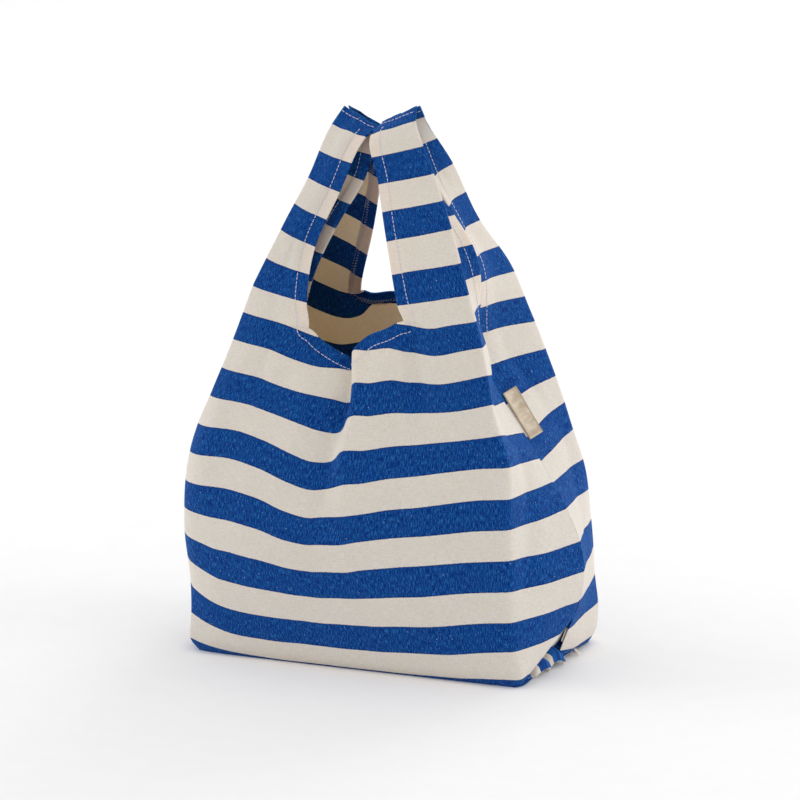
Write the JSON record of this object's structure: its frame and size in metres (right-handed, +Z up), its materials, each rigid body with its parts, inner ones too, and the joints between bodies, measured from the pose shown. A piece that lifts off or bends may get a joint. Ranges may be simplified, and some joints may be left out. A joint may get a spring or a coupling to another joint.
{
  "type": "canvas carrier bag",
  "caption": "Vest-handle carrier bag of striped canvas, standing open and full-shaped, with both handles drawn up together over the mouth.",
  "frame": {"origin": "middle of the base, on the surface the bag stands on", "axes": "+Z up, -Y the front, +X the side that carries the label"},
  "size_m": [0.3254, 0.1732, 0.4401],
  "materials": {
    "striped_canvas": "woven royal-blue and natural stripes, matt",
    "seam_canvas": "raw canvas seam allowance with overlock thread, matt",
    "sewing_thread": "spun polyester thread, slight sheen",
    "label_satin": "taupe satin, soft metallic sheen"
  },
  "bodies": {
    "bag": {"front_panel": "striped_canvas", "back_panel": "striped_canvas", "bottom_panel": "striped_canvas", "left_side_seam": "seam_canvas", "right_side_seam": "seam_canvas", "front_mouth_stitching": "sewing_thread", "back_mouth_stitching": "sewing_thread"},
    "left_handle": {"left_front_leg": "striped_canvas", "left_front_hem_stitching": "sewing_thread", "left_front_slit_stitching": "sewing_thread", "left_back_leg": "striped_canvas", "left_back_hem_stitching": "sewing_thread", "left_back_slit_stitching": "sewing_thread", "left_top_stitching": "sewing_thread"},
    "right_handle": {"right_front_leg": "striped_canvas", "right_front_hem_stitching": "sewing_thread", "right_front_slit_stitching": "sewing_thread", "right_back_leg": "striped_canvas", "right_back_hem_stitching": "sewing_thread", "right_back_slit_stitching": "sewing_thread", "right_top_stitching": "sewing_thread"},
    "label": {"side_label": "label_satin"}
  },
  "joints": [
    {"name": "left_handle", "type": "hinge", "parent": "bag", "child": "left_handle", "pos_m": [-0.102, 0, 0.273], "axis": [0, -1, 0], "range_deg": [0, 60]},
    {"name": "right_handle", "type": "hinge", "parent": "bag", "child": "right_handle", "pos_m": [0.102, 0, 0.273], "axis": [0, 1, 0], "range_deg": [0, 60]},
    {"name": "label", "type": "hinge", "parent": "bag", "child": "label", "pos_m": [0.10611, 0, 0.19888], "axis": [0.5515, 0, -0.8342], "range_deg": [0, 115]}
  ]
}
